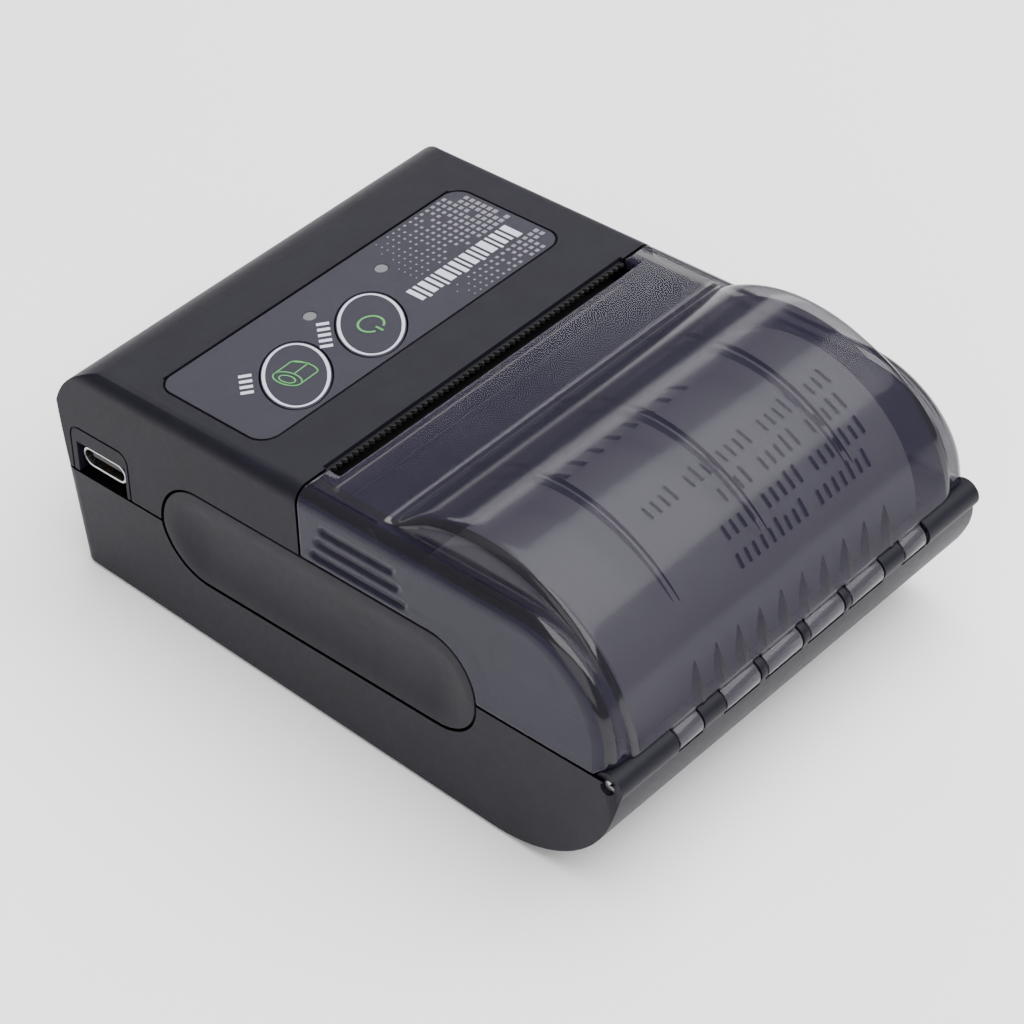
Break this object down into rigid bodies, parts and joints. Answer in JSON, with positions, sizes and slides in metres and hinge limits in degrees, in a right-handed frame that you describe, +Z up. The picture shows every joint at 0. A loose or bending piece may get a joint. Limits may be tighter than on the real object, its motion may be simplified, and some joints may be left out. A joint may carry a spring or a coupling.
{
  "type": "receipt printer",
  "caption": "Portable battery receipt printer: flat dark case, clear hinged cover over a drop-in paper roll, tear bar, oval buttons and dished side grips.",
  "frame": {"origin": "centre of the bounding box in plan, on the plane that the rubber feet rest on", "axes": "+Z up; +X towards the side with the USB-C inlet; +Y towards the cover hinge; the control panel end faces -Y"},
  "size_m": [0.073, 0.1066, 0.0459],
  "materials": {
    "case_plastic": "fine matte texture",
    "grip_rubber": "matte",
    "panel_film": "satin film",
    "button_plastic": "satin film",
    "clear_plastic": "clear",
    "dark_plastic": "satin",
    "smoked_cover": "smoke-tinted clear plastic",
    "steel": "ground",
    "spring_steel": "drawn wire",
    "platen_rubber": "ground rubber",
    "gear_plastic": "natural acetal",
    "brass_pinion": "machined",
    "bushing_plastic": "natural acetal",
    "head_aluminium": "milled",
    "ceramic": "glazed ceramic",
    "motor_steel": "zinc plated",
    "paper": "coated thermal paper",
    "core_tube": "wound cardboard",
    "board": "solder mask",
    "chip_black": "moulded",
    "led_lens": "clear resin",
    "plated_shell": "nickel plated",
    "battery_wrap": "shrink wrap",
    "flex_film": "amber film",
    "lead_red": "insulation",
    "black_screw": "black oxide",
    "foot_rubber": "matte"
  },
  "bodies": {
    "case": {"lower_case": "case_plastic", "upper_case": "case_plastic", "side_grip_left": "grip_rubber", "side_grip_right": "grip_rubber", "control_overlay": "panel_film", "light_pipes": "clear_plastic", "tear_bar": "dark_plastic", "hinge_pin": "steel", "mechanism_frame": "dark_plastic", "head_pivot_pin": "steel", "head_springs": "spring_steel", "stepper_motor": "motor_steel", "gear_axles": "steel", "paper_sensor": "dark_plastic", "main_board": "board", "board_chips": "chip_black", "tact_switches": "chip_black", "status_leds": "led_lens", "usb_c_shell": "plated_shell", "usb_c_tongue": "chip_black", "battery_pack": "battery_wrap", "battery_door": "case_plastic", "head_flex_cable": "flex_film", "battery_lead": "lead_red", "case_screws": "black_screw", "board_screws": "steel", "mechanism_screws": "steel", "door_screw": "black_screw", "rubber_feet": "foot_rubber"},
    "cover": {"paper_cover": "smoked_cover", "platen_bushings": "bushing_plastic"},
    "platen": {"platen_roller": "platen_rubber", "platen_shaft": "steel", "platen_gear": "gear_plastic"},
    "idler": {"idler_gear": "gear_plastic"},
    "compound": {"compound_gear": "gear_plastic"},
    "motor_rotor": {"motor_shaft": "steel", "motor_pinion": "brass_pinion"},
    "roll": {"paper_roll": "paper", "paper_core": "core_tube"},
    "power_key": {"power_button": "button_plastic"},
    "feed_key": {"feed_button": "button_plastic"},
    "head": {"print_head": "head_aluminium", "heater_strip": "ceramic"}
  },
  "joints": [
    {"name": "cover_hinge", "type": "hinge", "parent": "case", "child": "cover", "pos_m": [0, 0.05109, 0.02169], "axis": [-1, 0, 0], "range_deg": [0, 95]},
    {"name": "platen_spin", "type": "hinge", "parent": "cover", "child": "platen", "pos_m": [0, 0.00213, 0.03029], "axis": [1, 0, 0], "continuous": true},
    {"name": "idler_spin", "type": "hinge", "parent": "case", "child": "idler", "pos_m": [0, -0.00093, 0.02156], "axis": [1, 0, 0], "continuous": true},
    {"name": "compound_spin", "type": "hinge", "parent": "case", "child": "compound", "pos_m": [0, -0.00414, 0.01506], "axis": [1, 0, 0], "continuous": true},
    {"name": "motor_spin", "type": "hinge", "parent": "case", "child": "motor_rotor", "pos_m": [0, -0.01042, 0.01003], "axis": [1, 0, 0], "continuous": true},
    {"name": "roll_spin", "type": "hinge", "parent": "case", "child": "roll", "pos_m": [0, 0.02945, 0.02212], "axis": [1, 0, 0], "continuous": true},
    {"name": "head_pivot", "type": "hinge", "parent": "case", "child": "head", "pos_m": [0, -0.00474, 0.02316], "axis": [1, 0, 0], "range_deg": [0, 1.5], "stiffness_Nm_per_rad": 0.05, "springref_deg": -5.73},
    {"name": "power_press", "type": "slide", "parent": "case", "child": "power_key", "axis": [0, 0.0471, -0.9989], "range_m": [0, 0.0003], "stiffness_N_per_m": 600, "springref_m": -0.001},
    {"name": "feed_press", "type": "slide", "parent": "case", "child": "feed_key", "axis": [0, 0.0471, -0.9989], "range_m": [0, 0.0003], "stiffness_N_per_m": 600, "springref_m": -0.001}
  ],
  "couplings": [
    {"joint": "idler_spin", "follows": "platen_spin", "ratio": -1.0909},
    {"joint": "compound_spin", "follows": "platen_spin", "ratio": 1.7143},
    {"joint": "motor_spin", "follows": "platen_spin", "ratio": -4}
  ]
}
